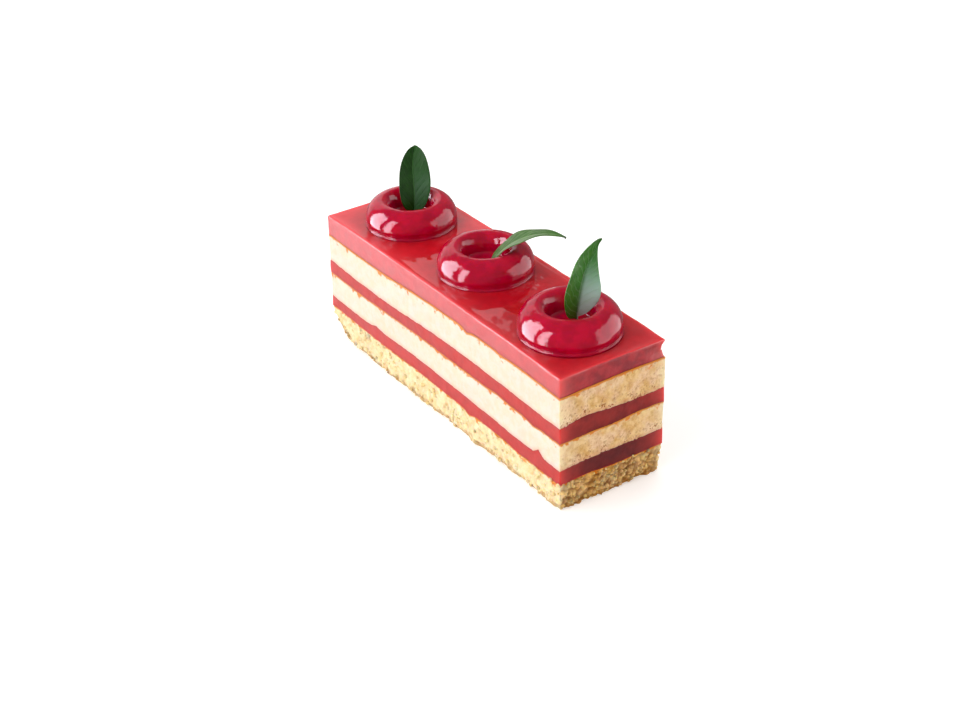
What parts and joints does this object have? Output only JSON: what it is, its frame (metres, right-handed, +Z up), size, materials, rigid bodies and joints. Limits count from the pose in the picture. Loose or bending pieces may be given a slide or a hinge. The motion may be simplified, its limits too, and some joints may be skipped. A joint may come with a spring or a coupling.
{
  "type": "layered sponge and jelly loaf cake",
  "caption": "Rectangular loaf cake of alternating sponge sheets and fruit-jelly layers, with mirror-glazed jelly rings in a row on top and a green leaf standing in the well of each.",
  "frame": {"origin": "middle of the bounding box at the height of the cake's flat underside", "axes": "+X along the cake's long side, +Y from the shown long side to the rear one, +Z up"},
  "size_m": [0.141, 0.041, 0.0786],
  "materials": {
    "sponge": "cut crumb, matt",
    "sponge_bottom": "coarse torn crumb, matt",
    "jelly_filling": "cut gel, satin and a little translucent",
    "jelly_glaze": "mirror-smooth on top, satin on the cut sides, translucent",
    "ring_glaze": "wet mirror glaze",
    "leaf": "satin, waxy"
  },
  "bodies": {
    "root": {"sponge_lower": "sponge_bottom", "jelly_lower": "jelly_filling", "sponge_middle": "sponge", "jelly_middle": "jelly_filling", "sponge_upper": "sponge", "jelly_top": "jelly_glaze", "ring_left": "ring_glaze", "leaf_left": "leaf", "ring_middle": "ring_glaze", "leaf_middle": "leaf", "ring_right": "ring_glaze", "leaf_right": "leaf"}
  },
  "joints": []
}
